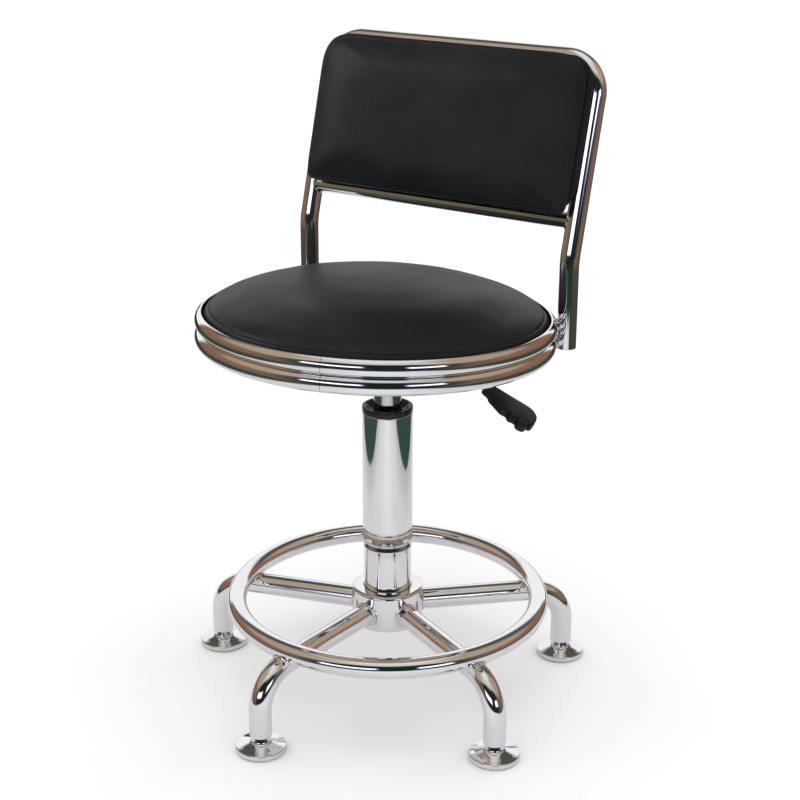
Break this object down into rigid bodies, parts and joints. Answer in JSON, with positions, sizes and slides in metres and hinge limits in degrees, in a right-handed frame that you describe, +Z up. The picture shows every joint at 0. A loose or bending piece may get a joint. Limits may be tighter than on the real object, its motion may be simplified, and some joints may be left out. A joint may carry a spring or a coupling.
{
  "type": "stylist stool",
  "caption": "Height-adjustable stylist stool: round padded swivel seat with a low padded back, chromed gas-lift column, foot ring and star base on fixed levelling glides.",
  "frame": {"origin": "on the floor, in the middle of the footprint of the feet. The axis that the seat turns and lifts on stands at x = 7 mm, y = 12 mm, because five feet are never symmetrical about their own axis.", "axes": "+Z up. The sitter faces -Y, the backrest is at +Y, and the height lever points along +X."},
  "size_m": [0.4122, 0.4074, 0.6462],
  "materials": {
    "chrome": "bright decorative chrome plate on steel tube",
    "zinc_steel": "zinc plated or bare machined steel",
    "ground_steel": "ground and polished steel of the lift rod and inner tube",
    "black_plastic": "moulded black plastic, fine matt texture",
    "black_vinyl": "satin black upholstery vinyl over foam",
    "rubber": "matt black rubber",
    "nylon": "dark nylon glide pad",
    "plywood": "unfinished birch plywood"
  },
  "bodies": {
    "base": {"hub": "chrome", "leg_1": "chrome", "leg_2": "chrome", "leg_3": "chrome", "leg_4": "chrome", "leg_5": "chrome", "footrest_ring": "chrome", "leg_insert_1": "zinc_steel", "leg_insert_2": "zinc_steel", "leg_insert_3": "zinc_steel", "leg_insert_4": "zinc_steel", "leg_insert_5": "zinc_steel", "column_tube": "chrome", "guide_bushing": "black_plastic", "column_base_plate": "zinc_steel", "lower_race": "zinc_steel"},
    "bearing_cage": {"ball_cage": "zinc_steel"},
    "lift_rod": {"piston_rod": "ground_steel", "piston": "black_plastic", "retaining_clip": "zinc_steel", "upper_race": "zinc_steel", "bump_stop": "rubber"},
    "seat": {"pressure_tube": "ground_steel", "rod_guide": "black_plastic", "taper_socket": "zinc_steel", "seat_bracket": "zinc_steel", "bracket_screw_1": "zinc_steel", "bracket_screw_2": "zinc_steel", "bracket_screw_3": "zinc_steel", "bracket_screw_4": "zinc_steel", "seat_board": "plywood", "seat_cushion": "black_vinyl", "seat_rim": "chrome", "lever_pin": "zinc_steel", "back_frame": "chrome", "back_crossbar": "chrome", "back_tab_1": "zinc_steel", "back_tab_2": "zinc_steel", "back_tab_3": "zinc_steel", "back_tab_4": "zinc_steel", "back_board": "plywood", "back_cushion": "black_vinyl", "back_screw_1": "zinc_steel", "back_screw_2": "zinc_steel", "back_screw_3": "zinc_steel", "back_screw_4": "zinc_steel"},
    "lever": {"lever_rod": "zinc_steel", "lever_paddle": "black_plastic"},
    "button": {"release_button": "zinc_steel"},
    "foot_pad_1": {"glide_pad_1": "nylon"},
    "foot_screw_1": {"glide_1": "chrome"},
    "foot_pad_2": {"glide_pad_2": "nylon"},
    "foot_screw_2": {"glide_2": "chrome"},
    "foot_pad_3": {"glide_pad_3": "nylon"},
    "foot_screw_3": {"glide_3": "chrome"},
    "foot_pad_4": {"glide_pad_4": "nylon"},
    "foot_screw_4": {"glide_4": "chrome"},
    "foot_pad_5": {"glide_pad_5": "nylon"},
    "foot_screw_5": {"glide_5": "chrome"}
  },
  "joints": [
    {"name": "seat_swivel", "type": "hinge", "parent": "base", "child": "lift_rod", "pos_m": [0.007, 0.012, 0.0854], "axis": [0, 0, 1], "continuous": true},
    {"name": "cage_roll", "type": "hinge", "parent": "base", "child": "bearing_cage", "pos_m": [0.007, 0.012, 0.0823], "axis": [0, 0, 1], "continuous": true},
    {"name": "seat_height", "type": "slide", "parent": "lift_rod", "child": "seat", "axis": [0, 0, 1], "range_m": [0, 0.12]},
    {"name": "lever_lift", "type": "hinge", "parent": "seat", "child": "lever", "pos_m": [0.037, 0.01072, 0.36233], "axis": [0, -0.9986, 0.0523], "range_deg": [0, 8]},
    {"name": "button_press", "type": "slide", "parent": "seat", "child": "button", "axis": [0, 0, -1], "range_m": [0, 0.0043]},
    {"name": "foot_1_drop", "type": "slide", "parent": "base", "child": "foot_pad_1", "axis": [0, 0, -1], "range_m": [0, 0.008]},
    {"name": "foot_1_turn", "type": "hinge", "parent": "foot_pad_1", "child": "foot_screw_1", "pos_m": [0.13696, 0.15333, 0], "axis": [0, 0, -1], "range_deg": [0, 1922]},
    {"name": "foot_2_drop", "type": "slide", "parent": "base", "child": "foot_pad_2", "axis": [0, 0, -1], "range_m": [0, 0.008]},
    {"name": "foot_2_turn", "type": "hinge", "parent": "foot_pad_2", "child": "foot_screw_2", "pos_m": [-0.08725, 0.17927, 0], "axis": [0, 0, -1], "range_deg": [0, 1922]},
    {"name": "foot_3_drop", "type": "slide", "parent": "base", "child": "foot_pad_3", "axis": [0, 0, -1], "range_m": [0, 0.008]},
    {"name": "foot_3_turn", "type": "hinge", "parent": "foot_pad_3", "child": "foot_screw_3", "pos_m": [-0.18121, -0.02595, 0], "axis": [0, 0, -1], "range_deg": [0, 1922]},
    {"name": "foot_4_drop", "type": "slide", "parent": "base", "child": "foot_pad_4", "axis": [0, 0, -1], "range_m": [0, 0.008]},
    {"name": "foot_4_turn", "type": "hinge", "parent": "foot_pad_4", "child": "foot_screw_4", "pos_m": [-0.01507, -0.17873, 0], "axis": [0, 0, -1], "range_deg": [0, 1922]},
    {"name": "foot_5_drop", "type": "slide", "parent": "base", "child": "foot_pad_5", "axis": [0, 0, -1], "range_m": [0, 0.008]},
    {"name": "foot_5_turn", "type": "hinge", "parent": "foot_pad_5", "child": "foot_screw_5", "pos_m": [0.18157, -0.06793, 0], "axis": [0, 0, -1], "range_deg": [0, 1922]}
  ],
  "couplings": [
    {"joint": "cage_roll", "follows": "seat_swivel", "ratio": 0.5},
    {"joint": "button_press", "follows": "lever_lift", "m_per_rad": 0.03},
    {"joint": "foot_1_turn", "follows": "foot_1_drop", "rad_per_m": 4188.8},
    {"joint": "foot_2_turn", "follows": "foot_2_drop", "rad_per_m": 4188.8},
    {"joint": "foot_3_turn", "follows": "foot_3_drop", "rad_per_m": 4188.8},
    {"joint": "foot_4_turn", "follows": "foot_4_drop", "rad_per_m": 4188.8},
    {"joint": "foot_5_turn", "follows": "foot_5_drop", "rad_per_m": 4188.8}
  ]
}
